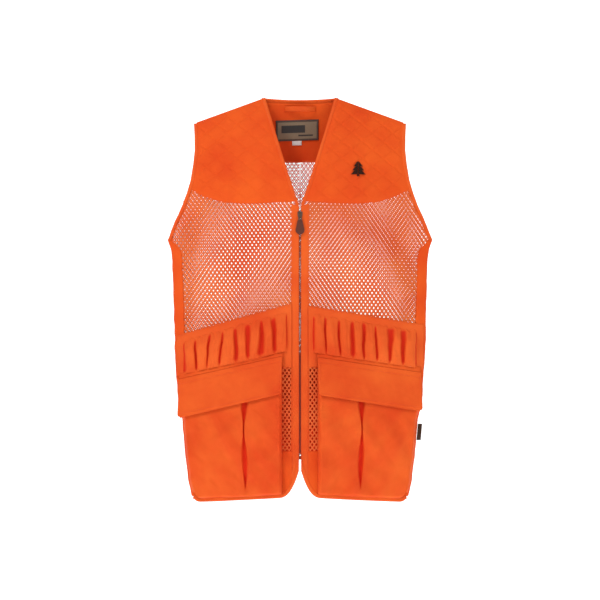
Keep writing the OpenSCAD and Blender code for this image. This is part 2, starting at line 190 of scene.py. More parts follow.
def add(tree, kind, **values):
    node = tree.nodes.new(kind)
    for key, value in values.items():
        if key.startswith("in_"):
            node.inputs[int(key[3:])].default_value = value
        else:
            setattr(node, key, value)
    return node


def woven(name, base, deep, pitch=0.9, rough=0.75, sheen=0.06, bump=0.3, mottle=0.15, painted_shade_colour=None):
    """Woven or knitted cloth: crossed threads, slubs, soft mottling and a fuzz at grazing angles; painted
    shade darkens its colour in creases wherever a piece carries the deep attribute.
    """
    mat, tree, bsdf = nodes_of(name)
    uv = add(tree, "ShaderNodeUVMap", uv_map="UVMap")
    obj = add(tree, "ShaderNodeTexCoord")
    warp = add(tree, "ShaderNodeTexWave", bands_direction="X")
    weft = add(tree, "ShaderNodeTexWave", bands_direction="Y")
    for w in (warp, weft):
        w.inputs["Scale"].default_value = 314.0 / pitch / 2
        w.inputs["Distortion"].default_value = 0.6
        w.inputs["Detail"].default_value = 1.0
        w.inputs["Detail Scale"].default_value = 2.0
        link(tree, uv.outputs[0], w.inputs["Vector"])
    threads = add(tree, "ShaderNodeMath", operation="MAXIMUM")
    link(tree, warp.outputs["Fac"], threads.inputs[0])
    link(tree, weft.outputs["Fac"], threads.inputs[1])
    cloud = add(tree, "ShaderNodeTexNoise")
    cloud.inputs["Scale"].default_value = 14.0
    cloud.inputs["Detail"].default_value = 4.0
    link(tree, obj.outputs["Object"], cloud.inputs["Vector"])
    slub = add(tree, "ShaderNodeTexNoise")
    slub.inputs["Scale"].default_value = 900.0
    slub.inputs["Detail"].default_value = 2.0
    link(tree, obj.outputs["Object"], slub.inputs["Vector"])
    shade = add(tree, "ShaderNodeMapRange")
    shade.inputs["From Min"].default_value = 0.3
    shade.inputs["From Max"].default_value = 0.7
    shade.inputs["To Min"].default_value = 0.0
    shade.inputs["To Max"].default_value = 1.0
    link(tree, cloud.outputs["Fac"], shade.inputs["Value"])
    tone = add(tree, "ShaderNodeMix", data_type="RGBA")
    tone.inputs["A"].default_value = (*base, 1)
    tone.inputs["B"].default_value = (*[mix(b, d, mottle * 4) for b, d in zip(base, deep)], 1)
    link(tree, shade.outputs["Result"], tone.inputs["Factor"])
    gap = add(tree, "ShaderNodeMapRange")
    gap.inputs["From Min"].default_value = 0.15
    gap.inputs["From Max"].default_value = 0.75
    gap.inputs["To Min"].default_value = 0.35
    gap.inputs["To Max"].default_value = 0.0
    link(tree, threads.outputs[0], gap.inputs["Value"])
    colour = add(tree, "ShaderNodeMix", data_type="RGBA")
    colour.inputs["B"].default_value = (*deep, 1)
    link(tree, gap.outputs["Result"], colour.inputs["Factor"])
    link(tree, tone.outputs["Result"], colour.inputs["A"])
    out = colour.outputs["Result"]
    # painted shade: mixes the colour towards a darker red by the deep attribute that cloth() stores, so
    # creases and folds look shaded
    if painted_shade_colour:
        painted_shade = add(tree, "ShaderNodeAttribute", attribute_name="deep")
        sink = add(tree, "ShaderNodeMix", data_type="RGBA")
        sink.inputs["B"].default_value = (*painted_shade_colour, 1)
        link(tree, painted_shade.outputs["Fac"], sink.inputs["Factor"])
        link(tree, out, sink.inputs["A"])
        out = sink.outputs["Result"]
    link(tree, out, bsdf.inputs["Base Color"])
    height = add(tree, "ShaderNodeMath", operation="MULTIPLY_ADD")
    height.inputs[1].default_value = 0.5
    link(tree, slub.outputs["Fac"], height.inputs[0])
    link(tree, threads.outputs[0], height.inputs[2])
    rise = add(tree, "ShaderNodeBump")
    rise.inputs["Strength"].default_value = bump
    rise.inputs["Distance"].default_value = 0.0003
    link(tree, height.outputs[0], rise.inputs["Height"])
    link(tree, rise.outputs["Normal"], bsdf.inputs["Normal"])
    bsdf.inputs["Roughness"].default_value = rough
    bsdf.inputs["Sheen Weight"].default_value = sheen
    bsdf.inputs["Sheen Roughness"].default_value = 0.4
    bsdf.inputs["Sheen Tint"].default_value = (1.0, 0.45, 0.2, 1)
    bsdf.inputs["Specular IOR Level"].default_value = 0.12
    return mat


def moulded(name, base, rough=0.4, metal=0.0, grain=0.2, scale=600.0, coat=0.0):
    """Moulded or plated stuff with a fine grain and a little wear in its roughness."""
    mat, tree, bsdf = nodes_of(name)
    obj = add(tree, "ShaderNodeTexCoord")
    fine = add(tree, "ShaderNodeTexNoise")
    fine.inputs["Scale"].default_value = scale
    fine.inputs["Detail"].default_value = 5.0
    link(tree, obj.outputs["Object"], fine.inputs["Vector"])
    tone = add(tree, "ShaderNodeMix", data_type="RGBA")
    tone.inputs["A"].default_value = (*[c * 0.75 for c in base], 1)
    tone.inputs["B"].default_value = (*[min(1, c * 1.35) for c in base], 1)
    link(tree, fine.outputs["Fac"], tone.inputs["Factor"])
    link(tree, tone.outputs["Result"], bsdf.inputs["Base Color"])
    worn = add(tree, "ShaderNodeMapRange")
    worn.inputs["To Min"].default_value = rough - 0.08
    worn.inputs["To Max"].default_value = rough + 0.1
    link(tree, fine.outputs["Fac"], worn.inputs["Value"])
    link(tree, worn.outputs["Result"], bsdf.inputs["Roughness"])
    rise = add(tree, "ShaderNodeBump")
    rise.inputs["Strength"].default_value = grain
    rise.inputs["Distance"].default_value = 0.0002
    link(tree, fine.outputs["Fac"], rise.inputs["Height"])
    link(tree, rise.outputs["Normal"], bsdf.inputs["Normal"])
    bsdf.inputs["Metallic"].default_value = metal
    bsdf.inputs["Coat Weight"].default_value = coat
    return mat


DEEP = (0.66, 0.035, 0.006)
M = {
    "yoke": woven("yoke_cloth", (0.84, 0.112, 0.012), DEEP, pitch=0.8),
    "plain": woven("plain_cloth", (0.84, 0.112, 0.012), DEEP, pitch=0.8),
    # band and pocket cloth take a painted shade colour for their creases
    "band": woven("band_cloth", (0.85, 0.135, 0.022), DEEP, pitch=0.8, painted_shade_colour=(0.62, 0.014, 0.003)),
    "pocket": woven("pocket_cloth", (0.85, 0.125, 0.018), DEEP, pitch=0.9, painted_shade_colour=(0.70, 0.016, 0.003)),
    "binding": woven("binding_cloth", (0.86, 0.135, 0.018), DEEP, pitch=0.7, rough=0.6),
    "net": woven("mesh_cloth", (0.88, 0.19, 0.048), DEEP, pitch=0.5, rough=0.6, sheen=0.05),
    "lining": woven("lower_back_cloth", (0.84, 0.07, 0.010), DEEP, pitch=0.8),
    "tape": woven("zip_tape_weave", (0.62, 0.05, 0.008), DEEP, pitch=0.7),
    "thread": woven("thread", (0.93, 0.17, 0.05), DEEP, pitch=0.4, rough=0.5, sheen=0.1),
    "brown": woven("brown_weave", (0.085, 0.045, 0.028), (0.03, 0.015, 0.01), pitch=0.6, sheen=0.1),
    "satin": woven("embroidery", (0.060, 0.016, 0.006), (0.02, 0.006, 0.003), pitch=0.5, rough=0.45,
                   sheen=0.1),
    "white": woven("white_weave", (0.86, 0.86, 0.83), (0.6, 0.6, 0.58), pitch=0.5, sheen=0.1),
    "teeth": moulded("zip_teeth_plastic", (0.20, 0.022, 0.010), rough=0.45),
    "metal": moulded("dark_plated_metal", (0.19, 0.13, 0.10), rough=0.34, metal=0.9, scale=1500.0),
    "puller": moulded("puller_leather", (0.100, 0.017, 0.005), rough=0.5, grain=0.6, scale=900.0, coat=0.1),
}


def label_weave():
    """Taupe damask with a darker woven frame and a plain dark bar."""
    mat, tree, bsdf = nodes_of("label_weave")
    uv = add(tree, "ShaderNodeUVMap", uv_map="UVMap")
    part = add(tree, "ShaderNodeSeparateXYZ")
    link(tree, uv.outputs[0], part.inputs[0])

    def inside(socket, lo, hi):
        a = add(tree, "ShaderNodeMath", operation="GREATER_THAN", in_1=lo)
        b = add(tree, "ShaderNodeMath", operation="LESS_THAN", in_1=hi)
        c = add(tree, "ShaderNodeMath", operation="MULTIPLY")
        link(tree, socket, a.inputs[0])
        link(tree, socket, b.inputs[0])
        link(tree, a.outputs[0], c.inputs[0])
        link(tree, b.outputs[0], c.inputs[1])
        return c.outputs[0]

    def both(a, b):
        c = add(tree, "ShaderNodeMath", operation="MULTIPLY")
        link(tree, a, c.inputs[0])
        link(tree, b, c.inputs[1])
        return c.outputs[0]

    x, y = part.outputs[0], part.outputs[1]
    field = both(inside(x, 0.0035, 0.0725), inside(y, 0.0035, 0.0325))
    bar = both(inside(x, 0.010, 0.052), inside(y, 0.014, 0.027))
    line = both(inside(x, 0.040, 0.066), inside(y, 0.008, 0.0105))
    wave = add(tree, "ShaderNodeTexWave", bands_direction="DIAGONAL")
    wave.inputs["Scale"].default_value = 260.0
    wave.inputs["Distortion"].default_value = 1.0
    link(tree, uv.outputs[0], wave.inputs["Vector"])
    ground = add(tree, "ShaderNodeMix", data_type="RGBA")
    ground.inputs["A"].default_value = (0.17, 0.115, 0.065, 1)
    ground.inputs["B"].default_value = (0.24, 0.175, 0.105, 1)
    link(tree, wave.outputs["Fac"], ground.inputs["Factor"])
    rim = add(tree, "ShaderNodeMix", data_type="RGBA")
    rim.inputs["A"].default_value = (0.07, 0.045, 0.03, 1)
    link(tree, field, rim.inputs["Factor"])
    link(tree, ground.outputs["Result"], rim.inputs["B"])
    marks = add(tree, "ShaderNodeMath", operation="MAXIMUM")
    link(tree, bar, marks.inputs[0])
    link(tree, line, marks.inputs[1])
    final = add(tree, "ShaderNodeMix", data_type="RGBA")
    final.inputs["B"].default_value = (0.018, 0.014, 0.012, 1)
    link(tree, marks.outputs[0], final.inputs["Factor"])
    link(tree, rim.outputs["Result"], final.inputs["A"])
    link(tree, final.outputs["Result"], bsdf.inputs["Base Color"])
    rise = add(tree, "ShaderNodeBump")
    rise.inputs["Strength"].default_value = 0.4
    rise.inputs["Distance"].default_value = 0.0003
    link(tree, wave.outputs["Fac"], rise.inputs["Height"])
    link(tree, rise.outputs["Normal"], bsdf.inputs["Normal"])
    bsdf.inputs["Roughness"].default_value = 0.6
    return mat


M["label"] = label_weave()


# ---------- pieces ----------
def finish_piece(bm, name, look, body, nodes=(), smooth=True):
    mesh = bpy.data.meshes.new(name)
    bm.to_mesh(mesh)
    bm.free()
    obj = bpy.data.objects.new(name, mesh)
    bpy.context.scene.collection.objects.link(obj)
    mesh.materials.append(M[look])
    if smooth:
        mesh.polygons.foreach_set("use_smooth", [True] * len(mesh.polygons))
    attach(obj, body)
    if nodes:
        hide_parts(*nodes)
    return obj


def cloth(name, place, nu, nv, look, flat, t=CLOTH_T, out=(0, -1, 0), body="vest", nodes=(),
          painted_shade=None, us=None):
    """A sheet of cloth on place(u, v), its outer face, with thickness t behind it."""
    bm = bmesh.new()
    uv = bm.loops.layers.uv.new("UVMap")
    layer = bm.verts.layers.float.new("deep") if painted_shade else None
    bmesh.ops.create_grid(bm, x_segments=nu, y_segments=nv, size=0.5)
    spot = {v: (round((v.co.x + 0.5) * nu), v.co.y + 0.5) for v in bm.verts}
    where = {v: ((us[i] if us else i / nu), w) for v, (i, w) in spot.items()}
    for f in bm.faces:
        for loop in f.loops:
            u, w = where[loop.vert]
            loop[uv].uv = (u * flat[0], w * flat[1])
    for v, (u, w) in where.items():
        v.co = place(u, w)
    bm.normal_update()
    if sum((f.normal for f in bm.faces), Vector()).dot(Vector(out)) < 0:
        bmesh.ops.reverse_faces(bm, faces=bm.faces)
    # painted shade: the deep attribute holds how much shade is painted into each point of the cloth's colour
    if painted_shade:
        for v, (u, w) in where.items():
            v[layer] = painted_shade(u, w)
    obj = finish_piece(bm, name, look, body, nodes)
    solid = obj.modifiers.new("thickness", "SOLIDIFY")
    solid.thickness = t * 0.001
    solid.offset = -1
    return obj


def net(name, x0, x1, z0, z1, inside, place, out, nodes, wide=7.2, tall=10.4, webs=(2.3, 2.3),
        lean=0.0):
    """Knitted mesh: a staggered lattice of diamond holes.

    webs are the widths of cloth, in mm, round every second hole each way and round the rest."""
    nx, nz = (x1 - x0) / wide, (z1 - z0) / tall
    n = int(nx + nz) + 2
    bm = bmesh.new()
    uv = bm.loops.layers.uv.new("UVMap")
    bmesh.ops.create_grid(bm, x_segments=n, y_segments=n, size=0.5)
    open_one = {}
    for f in bm.faces:
        c = f.calc_center_median()
        open_one[f] = int((c.x + 0.5) * n) % 2 == 0 and int((c.y + 0.5) * n) % 2 == 0
    for v in bm.verts:
        a, b = (v.co.x + 0.5) * n, (v.co.y + 0.5) * n
        x, z = x0 + (a + b - nz) * wide / 2, (z0 + z1) / 2 + (b - a) * tall / 2
        v.co = (x + lean * (z - z0), 0, z - lean * (x - x0))
    drop = [f for f in bm.faces if not inside(*[f.calc_center_median()[k] for k in (0, 2)])]
    bmesh.ops.delete(bm, geom=drop, context="FACES")
    holes = list(bm.faces)
    for big, web in zip((True, False), webs):
        some = [f for f in holes if open_one[f] == big]
        bmesh.ops.inset_individual(bm, faces=some, thickness=web / 2, use_even_offset=True)
    tips = [v for f in holes for v in f.verts if abs(v.co.x - f.calc_center_median().x) < wide * 0.1]
    bmesh.ops.delete(bm, geom=holes, context="FACES_ONLY")
    if wide > 5:
        bmesh.ops.bevel(bm, geom=tips, offset=1.0, segments=1, affect="VERTICES", profile=0.5,
                        material=-1)
    for f in bm.faces:
        for loop in f.loops:
            loop[uv].uv = (loop.vert.co.x * 0.001, loop.vert.co.z * 0.001)
    for v in bm.verts:
        v.co = place(v.co.x, v.co.z)
    bm.normal_update()
    if sum((f.normal for f in bm.faces), Vector()).dot(Vector(out)) < 0:
        bmesh.ops.reverse_faces(bm, faces=bm.faces)
    obj = finish_piece(bm, name, "net", "vest", nodes)
    solid = obj.modifiers.new("thickness", "SOLIDIFY")
    solid.thickness = NET_THICK
    solid.offset = -1
    return obj


SEAMS = {}


def sew(path, body="vest", step=3.6, length=2.5, r=0.33, look="thread"):
    """Adds a row of stitches along a list of points in metres."""
    run = []
    SEAMS.setdefault((body, look), []).append(run)
    gone = 0.0
    for a, b in zip(path, path[1:]):
        seg = b - a
        size = seg.length * 1000
        while gone <= size and size > 0:
            run.append((a + seg * (gone / size), seg.normalized(), length, r))
            gone += step
        gone -= size


def make_stitches():
    for (body, look), runs in SEAMS.items():
        whole = bmesh.new()
        for run in runs:
            # a row at a time, so that each operator works on a small mesh
            bm = bmesh.new()
            bm.loops.layers.uv.new("UVMap")
            for p, d, length, r in run:
                turn = d.to_track_quat("Z", "Y").to_matrix().to_4x4()
                size = Matrix.Diagonal((r * 0.001, r * 0.001, length * 0.0005, 1))
                bmesh.ops.create_uvsphere(bm, u_segments=5, v_segments=4, radius=1,
                                          matrix=Matrix.Translation(p) @ turn @ size)
            row = bpy.data.meshes.new("row")
            bm.to_mesh(row)
            bm.free()
            whole.from_mesh(row)
            bpy.data.meshes.remove(row)
        finish_piece(whole, "stitches_" + body + "_" + look, look, body)


# ---- front panels ----
def yoke_at(s, u, v):
    za, zb = mix(18, -166, v), mix(-24.5, -144, v)
    left = Vector((vneck(za) + BIND - 0.8, za - 0.5))
    right = Vector((half_w(zb) - BIND + 1.0, zb - 0.2))
    x = mix(left[0], right[0], u)
    low = yoke_low(min(max(x, YOKE_X0), YOKE_X1))
    lin = mix(yoke_low(YOKE_X0), yoke_low(YOKE_X1), u)
    return s * x, mix(left[1], right[1], u) + (low - lin) * v ** 2


def quilt(x, z):
    """Height of the wadding between crossed rows of quilting, in mm, with its folded edges."""
    a = ((x * 0.82 + z) / 30) % 1
    b = ((x * 0.82 - z) / 30) % 1
    groove = min(min(a, 1 - a), min(b, 1 - b)) * 2
    return 1.6 * (1 - math.exp(-groove * 9)) + 0.5 * math.sin(math.pi * min(1, groove * 1.6))


for side, s in (("left", 1), ("right", -1)):
    def yoke_place(u, v, s=s):
        x, z = yoke_at(s, u, v)
        rim = ease(min(u, 1 - u) * 14) * ease(min(v, 1 - v) * 14)
        return front(x, z, 1.5 + quilt(x, z) * rim * 0.85)

    cloth("front_yoke_quilted_" + side, yoke_place, 110, 100, "yoke", (0.195, 0.165), t=1.3,
          nodes=("front_yoke_" + side,))

    def in_front_net(x, z, s=s):
        x = s * x
        if not (14 < x < net_out(z) + 4 and z < yoke_low(min(max(x, YOKE_X0), YOKE_X1)) + 3):
            return False
        return z > -610 and (x < 34 or z > flap_top(x, s) - 10)

    lo, hi = (14, 232) if s > 0 else (-232, -14)
    net("front_net_" + side, lo, hi, -690, -140, in_front_net, lambda x, z: front(x, z, 0.8),
        (0, -1, 0), ("front_mesh_" + side,))

    def corner_place(u, v, s=s):
        x = mix(13.5, 40, u)
        return front(s * x, mix(hem(x) + 4, -603, v), 1.25)

    cloth("hem_corner_" + side, corner_place, 16, 30, "plain", (0.0265, 0.06), t=0.9)

    def strip_place(u, v, s=s):
        z = mix(-686, -231.5, v)
        w = strip_w(z) + 1.2
        q = 1 - abs(2 * u - 1)
        x = half_w(z) - w * (1 - q ** 0.7)
        wave = 0.5 * noise.noise(Vector((z / 40, s * 3.0, 1)))
        p = front(s * x, z, 1.6) if u < 0.5 else back(s * x, z, 1.6)
        k = ease((q - 0.75) / 0.25)
        p.x += s * 0.001 * (1.0 + wave) * k
        p.y *= 1 - 0.55 * k
        return p

    cloth("side_strip_cloth_" + side, strip_place, 20, 120, "plain", (0.036, 0.45), t=0.9, out=(s, 0, 0),
          nodes=("side_strip_" + side,))

    def facing_place(u, v, s=s):
        x = mix(1.7, 1.9 + FACING, u)
        z = mix(hem(x) + hem_rise(x) - 1.5, -174.5 + 0.25 * x, v)
        puff = 0.35 * math.sin(math.pi * u) + 0.22 * noise.noise(Vector((z / 9, s * 4.0, u * 2)))
        return front(s * x, z, 1.15 + puff * ease(min(u, 1 - u) * 9))

    cloth("zip_facing_cloth_" + side, facing_place, 12, 260, "binding", (0.0137, 0.49), t=1.0,
          nodes=("zip_facing_" + side,))
    for x in (3.2, 13.2):
        sew([front(s * x, z, 1.62) for z in range(-640, -176, 3)])

    def band_place(u, v, s=s):
        x = mix(14.5, 219, u)
        x = min(x, half_w(-400) - 2.5)
        zt = band_top(x, s)
        zb = mix(-457, flap_top(x, s) + 5, ease((x - 30.6) / 1.6))
        z = mix(zb, zt, v)
        pull = 0.35 * noise.noise(Vector((x / 8, z / 30, 2.0))) * ease((zt - z) / 20)
        return front(s * x, z, 2.4 + pull)

    cloth("shell_band_cloth_" + side, band_place, 90, 34, "band", (0.208, 0.108), t=1.0,
          nodes=("shell_band_" + side,))
    sew([front(s * x, band_top(x, s) - 3.0, 2.75) for x in range(18, 216, 3)])

    # shell loops: uneven folds of a gathered strip, pinched by the stitching at both ends
    rng = random.Random(11 + s)
    cuts = [22 + 23 * k + (rng.uniform(-3.2, 3.2) if 0 < k < 8 else 0) for k in range(9)]
    lean = [rng.uniform(-4.5, 4.5) if 0 < k < 8 else 0 for k in range(9)]
    tall = [rng.uniform(0.80, 1.0) for _ in range(8)]
    gape = [rng.uniform(0.05, 0.15) for _ in range(9)]
    tend = [rng.uniform(-0.7, 0.7) for _ in range(9)]

    def loop_facts(u, v):
        w = 1 - v
        edges = [c + l * (w - 0.5) + (2.2 * noise.noise(Vector((w * 2.2, i * 1.7, 2))) if 0 < i < 8 else 0)
                 for i, (c, l) in enumerate(zip(cuts, lean))]
        x = mix(edges[0], edges[-1], u)
        k = max(i for i in range(8) if x >= edges[i] - 1e-6)
        t = (x - edges[k]) / (edges[k + 1] - edges[k])
        return x, k, min(1, max(0, t))

    def loop_gap(k, t, w):
        """0 in the crease between two loops, 1 on a loop; each crease opens its own way."""
        e = k if t < 0.5 else k + 1
        wide = gape[e] * (1 + tend[e] * (2 * w - 1)) * ease((1.02 - w) * 7) * ease((w + 0.02) * 9) + 0.015
        return ease((min(t, 1 - t) / wide - 0.35) / 1.3)

    def loops_place(u, v, s=s):
        x, k, t = loop_facts(u, v)
        w = 1 - v
        start = 5 * noise.noise(Vector((x / 9, 1, s)))
        z = mix(band_top(x, s) - 13 + start, flap_top(x, s) + 7, w)
        pinch = 0.10 + 0.90 * ease(w * 3.2) * (0.30 + 0.70 * ease((1 - w) * 4.5))
        arc = (4 * t * (1 - t)) ** 0.5 * loop_gap(k, t, w)
        rib = 1.5 * noise.noise(Vector((x / 5.5 + z / 60, z / 45, 3.0 + k)))
        rib += noise.noise(Vector((x / 10, z / 15, 9)))
        rim = ease(min(w, 0.6) * 16) * ease(min(u, 1 - u) * 90)
        return front(s * x, z, 2.25 + 0.8 * rim + max(0, arc * 8.0 * tall[k] * pinch + rib * arc) * rim)

    # painted shade: darkens the creases between the loops, most where the gaps open
    def loops_painted_shade(u, v):
        _, k, t = loop_facts(u, v)
        return 0.92 * (1 - loop_gap(k, t, 1 - v)) * ease(v * 9) * ease((1 - v) * 9)

    cloth("shell_loops_cloth_" + side, loops_place, 288, 36, "band", (0.235, 0.055), t=0.9,
          nodes=("shell_loops_" + side,), painted_shade=loops_painted_shade)
    # cargo pocket with an inverted pleat
    xp = 97 if s < 0 else 107

    def pleat(x, z, s=s, xp=xp):
        top = flap_top(xp, s) - FLAP_H
        d = top - z
        half = 0.6 + 4.6 * (1 - ease(d / 42)) + 3.6 * ease((d - 50) / 45) * (1 - ease((d - 105) / 50))
        end = ease((z + 676) / 22)
        c = xp + 1.5 * math.sin(d / 30)
        return math.exp(-(abs(x - c) / (half + 0.5)) ** 4) * end

    xs, x = [], 31.0
    while x < 216:
        xs.append(x)
        x += 0.55 if abs(x - xp) < 9 else 1.0 if abs(x - xp) < 14 or x < 40 or x > 200 else 2.4
    share = [(x - xs[0]) / (xs[-1] - xs[0]) for x in xs]

    def pocket_facts(u, v, s=s):
        zt = flap_top(mix(31, 205, u), s) - 11
        z = mix(hem(mix(31, 196, u)) + 6, zt, v ** 0.9)
        x = mix(31, half_w(z) - 1.2, u)
        return x, z

    def pocket_place(u, v, s=s):
        x, z = pocket_facts(u, v)
        down = max(0, flap_top(x, s) - z)
        under = min(down, FLAP_H + 6) * math.tan(TILT)
        fall = max(0, down - FLAP_H - 6)
        low = ease((-z - 560) / 130)
        full = plane_y(x) - under * (1 - 0.55 * low) + 3.0
        full += 2.2 * ease(down / 40) * (1 - ease((fall - 8) / 45))
        full -= 2.6 * ease((fall - 10) / 40) * (1 - low)
        edge = min(x - 31, half_w(z) - 1.2 - x, z - hem(x) - 6)
        f = 1 - (1 - min(1, max(0, edge) / 7)) ** 2.4
        free = ease(fall / 18)
        crease = noise.noise(Vector((x / 30 + z / 55, z / 46, 4.0 + s)))
        fine = noise.noise(Vector((x / 13 - z / 30, z / 16, 7.0 + s)))
        slant = noise.noise(Vector(((x - 0.8 * z) / 34, (x + z) / 120, 2.0 * s)))
        wrinkle = free * (5.6 * crease + 6.0 * slant + 1.6 * fine) + 0.3 * fine
        y = mix(front_y(x, z) - 1.6 - drape(x, z), full - wrinkle, f)
        sink = 6.0 * pleat(x, z) * ease(edge / 8)
        lip = 1.1 * math.exp(-((x - xp - 6) / 6) ** 2) * free
        y = min(front_y(x, z) - 1.9 - drape(x, z), y + sink - lip * f)
        return Vector((s * x + sway(s * x, z), y, z)) * 0.001

    # painted shade: darkens the pleat's groove and, more lightly, bands along the diagonal wrinkles
    def pocket_painted_shade(u, v, s=s):
        x, z = pocket_facts(u, v)
        slant = noise.noise(Vector(((x - 0.8 * z) / 34, (x + z) / 120, 2.0 * s)))
        return max(0.9 * pleat(x, z), 0.16 * ease(0.4 + 2.2 * slant))

    cloth("cargo_pocket_" + side, pocket_place, len(xs) - 1, 110, "pocket", (0.205, 0.255), t=1.0,
          nodes=("pocket_" + side,), painted_shade=pocket_painted_shade, us=share)

    # flap: straight along its hinge line, a little slack between
    j = joints["pocket_flap_%s_hinge" % side]
    start, axis = Vector(j["pos_m"]) * 1000, Vector(j["axis"]).normalized()
    across = axis * (-1 if s > 0 else 1)
    long = (FLAP_OUT - FLAP_IN) / abs(across.x)
    level = Vector((across.x, across.y, 0)).normalized()
    outward = Vector((level.y * s, -level.x * s, 0))
    down = Vector((0, 0, -math.cos(TILT))) + outward * math.sin(TILT)
    normal = across.cross(down).normalized()
    if normal.dot(outward) < 0:
        normal = -normal

    def flap_at(u, w, o, start=start, across=across, down=down, normal=normal, long=long):
        return (start + across * (long * u) + down * w + normal * o) * 0.001

    def flap_place(u, v, s=s, flap_at=flap_at, long=long):
        w = (1 - v) * FLAP_H * (1 + 0.05 * u)
        a, b = u * long, (1 - u) * long
        corner = 5.0
        near = min(a, b)
        if near < corner and w > FLAP_H - corner:
            cut = corner - math.sqrt(max(0, corner ** 2 - (corner - near) ** 2))
            w = min(w, FLAP_H - cut)
        roll = ease(min(near, FLAP_H - w) / 1.8)
        slack = 1.0 * noise.noise(Vector((a / 30 + w / 40, w / 22, 6.0 + s)))
        slack += 0.45 * noise.noise(Vector((a / 10, w / 9, 2.0)))
        seam = -0.22 * math.exp(-((w - 9) / 1.0) ** 2) - 0.16 * math.exp(-((FLAP_H - w - 4) / 1.0) ** 2)
        return flap_at(u, w, 0.15 + (slack * ease(w / 8) + seam + 0.35) * roll - 0.5 * (1 - roll))

    cloth("pocket_flap_cloth_" + side, flap_place, 150, 60, "pocket", (0.188, 0.066), t=1.3,
          out=tuple(outward), body="pocket_flap_" + side, nodes=("pocket_flap_" + side,))
    body = "pocket_flap_" + side
    sew([flap_at(u / 60, 9, 0.62) for u in range(1, 60)], body)
    sew([flap_at(0.02, 9 + k, 0.62) for k in range(0, 53, 3)], body)
    sew([flap_at(0.98, 9 + k, 0.62) for k in range(0, 53, 3)], body)
    sew([flap_at(0.02 + 0.96 * u / 60, FLAP_H - 4, 0.62) for u in range(61)], body)

    def header_place(u, v, s=s):
        x = mix(FLAP_IN - 0.8, FLAP_OUT, u)
        z = flap_top(x, s) + 0.4 + 9.6 * v
        y = mix(plane_y(x) + 0.35, front_y(x, z) - drape(x, z) - 2.9, ease(v * 1.05) ** 0.8)
        return Vector((s * x, min(y, front_y(x, z) - 2.5 - drape(x, z)), z)) * 0.001

    cloth("flap_seam_" + side, header_place, 80, 8, "pocket", (0.188, 0.0105), t=1.1,
          nodes=("flap_header_" + side,))


# ---- back panels ----
def back_yoke_place(u, v):
    q = 2 * u - 1
    xt = 183 * q
    top = shoulder(xt) - 0.6 if abs(xt) > 66 else 12.6 - 3.5 * (1 - (xt / 67) ** 2)
    z = mix(-93, top, v)
    x = mix((half_w(z) - BIND + 1) * q, xt, 1 if abs(xt) < 75 else 0)
    return back(x, z, 1.5)


cloth("back_yoke_cloth", back_yoke_place, 120, 40, "yoke", (0.372, 0.11), t=1.2, out=(0, 1, 0),
      nodes=("back_yoke",))


def in_back_net(x, z):
    return abs(x) < net_out(z) + 4 and -442 < z < -90


for side, s in (("left", 1), ("right", -1)):
    net("back_net_" + side, 0 if s > 0 else -226, 226 if s > 0 else 0, -444, -86,
        lambda x, z, s=s: in_back_net(x, z) and s * x >= -0.01, lambda x, z: back(x, z, 0.8), (0, 1, 0),
        ("back_mesh",), wide=3.7, tall=5.35, webs=(0.65, 1.75), lean=0.02 * s)


def lower_place(u, v):
    q = 2 * u - 1
    zb = hem_back(188 * q) + BIND - 1
    z = mix(zb, -437, v)
    return back((net_out(z) + 1.5) * q, z, 1.3)


cloth("lower_back_cloth", lower_place, 100, 50, "lining", (0.41, 0.215), t=1.0, out=(0, 1, 0),
      nodes=("back_lower_panel",))


def pouch_facts(u, v):
    z = mix(hem_back(190 * (2 * u - 1)) + BIND + 1, -452, v)
    return (half_w(z) - 7) * (2 * u - 1), z


def pouch_place(u, v):
    x, z = pouch_facts(u, v)
    low = hem_back(190 * (2 * u - 1)) + BIND + 1
    edge = min(half_w(z) - 7 - abs(x), z - low)
    f = 1 - (1 - min(1, max(0, edge) / 9)) ** 2.2
    bulge = 16 * (0.55 + 0.45 * math.sin(math.pi * u)) * (0.75 + 0.25 * math.sin(math.pi * v))
    wrinkle = 1.6 * noise.noise(Vector((x / 50, z / 60, 12))) + 0.5 * noise.noise(Vector((x / 17, z / 24, 3)))
    return back(x, z, 1.9 + f * (bulge + wrinkle))


cloth("game_pouch_cloth", pouch_place, 130, 60, "pocket", (0.44, 0.22), t=1.1, out=(0, 1, 0),
      nodes=("game_pouch",))
sew([pouch_place(u / 200, 0.955) + Vector((0, 0.0004, 0)) for u in range(6, 195)])


# ---- bindings: a folded strip round a cloth edge ----
FOLD = [(6.4, 1.5), (5.6, 2.1), (3.2, 2.45), (1.0, 2.0), (0.05, 0.9), (0.6, -0.2), (3.4, -0.6)]


def binding(name, spot, n, length, nodes, out):
    def place(u, v):
        k = u * (len(FOLD) - 1)
        i = min(len(FOLD) - 2, int(k))
        inward, o = [mix(a, b, k - i) for a, b in zip(FOLD[i], FOLD[i + 1])]
        if 0 < u < 0.6:
            o += 0.12 * noise.noise(Vector((v * length / 0.007, 2, 5)))
        return spot(v, inward, o)

    cloth(name, place, 12, n, "binding", (0.0135, length), t=0.6, out=out, nodes=nodes)
    sew([spot(i / 150, 4.9, 2.55) for i in range(151)], r=0.28, step=3.2, length=2.2)


